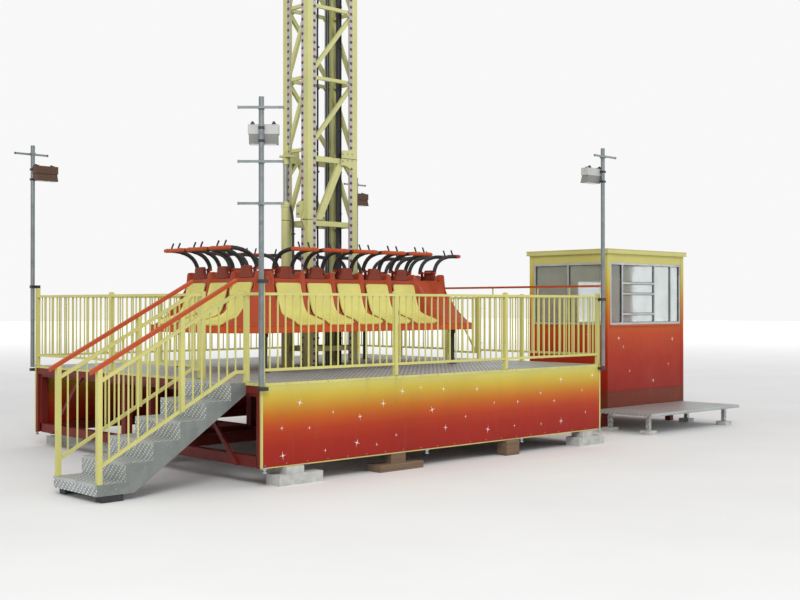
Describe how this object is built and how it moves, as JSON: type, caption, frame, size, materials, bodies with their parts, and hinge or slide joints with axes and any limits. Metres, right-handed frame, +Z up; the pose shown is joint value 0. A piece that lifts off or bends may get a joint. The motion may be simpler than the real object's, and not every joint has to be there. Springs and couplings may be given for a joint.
{
  "type": "drop tower ride",
  "caption": "Fairground drop tower with a lattice mast, a ring of bucket seats with raised over-shoulder restraints, fenced platform, stair, light masts and pay booth.",
  "frame": {"origin": "on the ground under the middle of the mast", "axes": "+Z up along the mast, +X to the right along the front panel, +Y away from the front panel"},
  "size_m": [11.653, 5.595, 15.56],
  "materials": {
    "pale_yellow_paint": "gloss",
    "yellow_shell": "gloss",
    "orange_panel": "gloss",
    "red_shell": "gloss",
    "orange_rail": "satin",
    "dark_red_paint": "satin",
    "tread_plate": "satin",
    "galvanised": "satin",
    "packing_block": "matte",
    "lamp_strip": "matte",
    "window_glass": "gloss",
    "restraint_pad": "matte"
  },
  "bodies": {
    "platform": {"base_frame": "dark_red_paint", "packing": "packing_block", "deck": "tread_plate", "skirt_front": "orange_panel", "skirt_back": "orange_panel", "skirt_left": "dark_red_paint", "skirt_right": "orange_panel", "fence_front": "pale_yellow_paint", "fence_back": "pale_yellow_paint", "fence_left": "pale_yellow_paint", "fence_right": "pale_yellow_paint", "handrails": "orange_rail", "stair_flight": "tread_plate", "stair_fence_near": "pale_yellow_paint", "stair_fence_far": "pale_yellow_paint", "mast_base": "pale_yellow_paint", "mast_columns": "pale_yellow_paint", "mast_front": "pale_yellow_paint", "mast_back": "pale_yellow_paint", "mast_left": "pale_yellow_paint", "mast_right": "pale_yellow_paint", "mast_head": "pale_yellow_paint", "mast_guides": "galvanised", "lamp_strips": "lamp_strip", "light_mast_fl": "galvanised", "light_mast_fr": "galvanised", "light_mast_bl": "galvanised", "light_mast_br": "galvanised", "buffers": "restraint_pad", "booth_shell": "orange_panel", "booth_roof": "pale_yellow_paint", "booth_frames": "tread_plate", "booth_glass": "window_glass", "booth_step": "tread_plate"},
    "gondola": {"carriage": "dark_red_paint", "gondola_tray": "red_shell", "gondola_body": "red_shell", "seats_front": "yellow_shell", "seats_left": "yellow_shell", "seats_back": "yellow_shell", "seats_right": "yellow_shell", "headrests": "dark_red_paint"},
    "gate_leaf": {"gate": "pale_yellow_paint"},
    "restraint_f1_arm": {"restraint_f1": "restraint_pad"},
    "restraint_f2_arm": {"restraint_f2": "restraint_pad"},
    "restraint_f3_arm": {"restraint_f3": "restraint_pad"},
    "restraint_f4_arm": {"restraint_f4": "restraint_pad"},
    "restraint_f5_arm": {"restraint_f5": "restraint_pad"},
    "restraint_l1_arm": {"restraint_l1": "restraint_pad"},
    "restraint_l2_arm": {"restraint_l2": "restraint_pad"},
    "restraint_l3_arm": {"restraint_l3": "restraint_pad"},
    "restraint_b1_arm": {"restraint_b1": "restraint_pad"},
    "restraint_b2_arm": {"restraint_b2": "restraint_pad"},
    "restraint_b3_arm": {"restraint_b3": "restraint_pad"},
    "restraint_b4_arm": {"restraint_b4": "restraint_pad"},
    "restraint_b5_arm": {"restraint_b5": "restraint_pad"},
    "restraint_r1_arm": {"restraint_r1": "restraint_pad"},
    "restraint_r2_arm": {"restraint_r2": "restraint_pad"},
    "restraint_r3_arm": {"restraint_r3": "restraint_pad"}
  },
  "joints": [
    {"name": "gondola_lift", "type": "slide", "parent": "platform", "child": "gondola", "axis": [0, 0, 1], "range_m": [0, 11]},
    {"name": "gate_hinge", "type": "hinge", "parent": "platform", "child": "gate_leaf", "pos_m": [3.015, -0.293, 1.382], "axis": [0, 0, -1], "range_deg": [0, 90]},
    {"name": "restraint_f1_hinge", "type": "hinge", "parent": "gondola", "child": "restraint_f1_arm", "pos_m": [-1.05, -0.49, 2.445], "axis": [1, 0, 0], "range_deg": [0, 66]},
    {"name": "restraint_f2_hinge", "type": "hinge", "parent": "gondola", "child": "restraint_f2_arm", "pos_m": [-0.525, -0.49, 2.445], "axis": [1, 0, 0], "range_deg": [0, 66]},
    {"name": "restraint_f3_hinge", "type": "hinge", "parent": "gondola", "child": "restraint_f3_arm", "pos_m": [0, -0.49, 2.445], "axis": [1, 0, 0], "range_deg": [0, 66]},
    {"name": "restraint_f4_hinge", "type": "hinge", "parent": "gondola", "child": "restraint_f4_arm", "pos_m": [0.525, -0.49, 2.445], "axis": [1, 0, 0], "range_deg": [0, 66]},
    {"name": "restraint_f5_hinge", "type": "hinge", "parent": "gondola", "child": "restraint_f5_arm", "pos_m": [1.05, -0.49, 2.445], "axis": [1, 0, 0], "range_deg": [0, 66]},
    {"name": "restraint_l1_hinge", "type": "hinge", "parent": "gondola", "child": "restraint_l1_arm", "pos_m": [-1.61, 0.525, 2.445], "axis": [0, -1, 0], "range_deg": [0, 66]},
    {"name": "restraint_l2_hinge", "type": "hinge", "parent": "gondola", "child": "restraint_l2_arm", "pos_m": [-1.61, 0, 2.445], "axis": [0, -1, 0], "range_deg": [0, 66]},
    {"name": "restraint_l3_hinge", "type": "hinge", "parent": "gondola", "child": "restraint_l3_arm", "pos_m": [-1.61, -0.525, 2.445], "axis": [0, -1, 0], "range_deg": [0, 66]},
    {"name": "restraint_b1_hinge", "type": "hinge", "parent": "gondola", "child": "restraint_b1_arm", "pos_m": [1.05, 0.49, 2.445], "axis": [-1, 0, 0], "range_deg": [0, 66]},
    {"name": "restraint_b2_hinge", "type": "hinge", "parent": "gondola", "child": "restraint_b2_arm", "pos_m": [0.525, 0.49, 2.445], "axis": [-1, 0, 0], "range_deg": [0, 66]},
    {"name": "restraint_b3_hinge", "type": "hinge", "parent": "gondola", "child": "restraint_b3_arm", "pos_m": [0, 0.49, 2.445], "axis": [-1, 0, 0], "range_deg": [0, 66]},
    {"name": "restraint_b4_hinge", "type": "hinge", "parent": "gondola", "child": "restraint_b4_arm", "pos_m": [-0.525, 0.49, 2.445], "axis": [-1, 0, 0], "range_deg": [0, 66]},
    {"name": "restraint_b5_hinge", "type": "hinge", "parent": "gondola", "child": "restraint_b5_arm", "pos_m": [-1.05, 0.49, 2.445], "axis": [-1, 0, 0], "range_deg": [0, 66]},
    {"name": "restraint_r1_hinge", "type": "hinge", "parent": "gondola", "child": "restraint_r1_arm", "pos_m": [1.61, -0.525, 2.445], "axis": [0, 1, 0], "range_deg": [0, 66]},
    {"name": "restraint_r2_hinge", "type": "hinge", "parent": "gondola", "child": "restraint_r2_arm", "pos_m": [1.61, 0, 2.445], "axis": [0, 1, 0], "range_deg": [0, 66]},
    {"name": "restraint_r3_hinge", "type": "hinge", "parent": "gondola", "child": "restraint_r3_arm", "pos_m": [1.61, 0.525, 2.445], "axis": [0, 1, 0], "range_deg": [0, 66]}
  ]
}
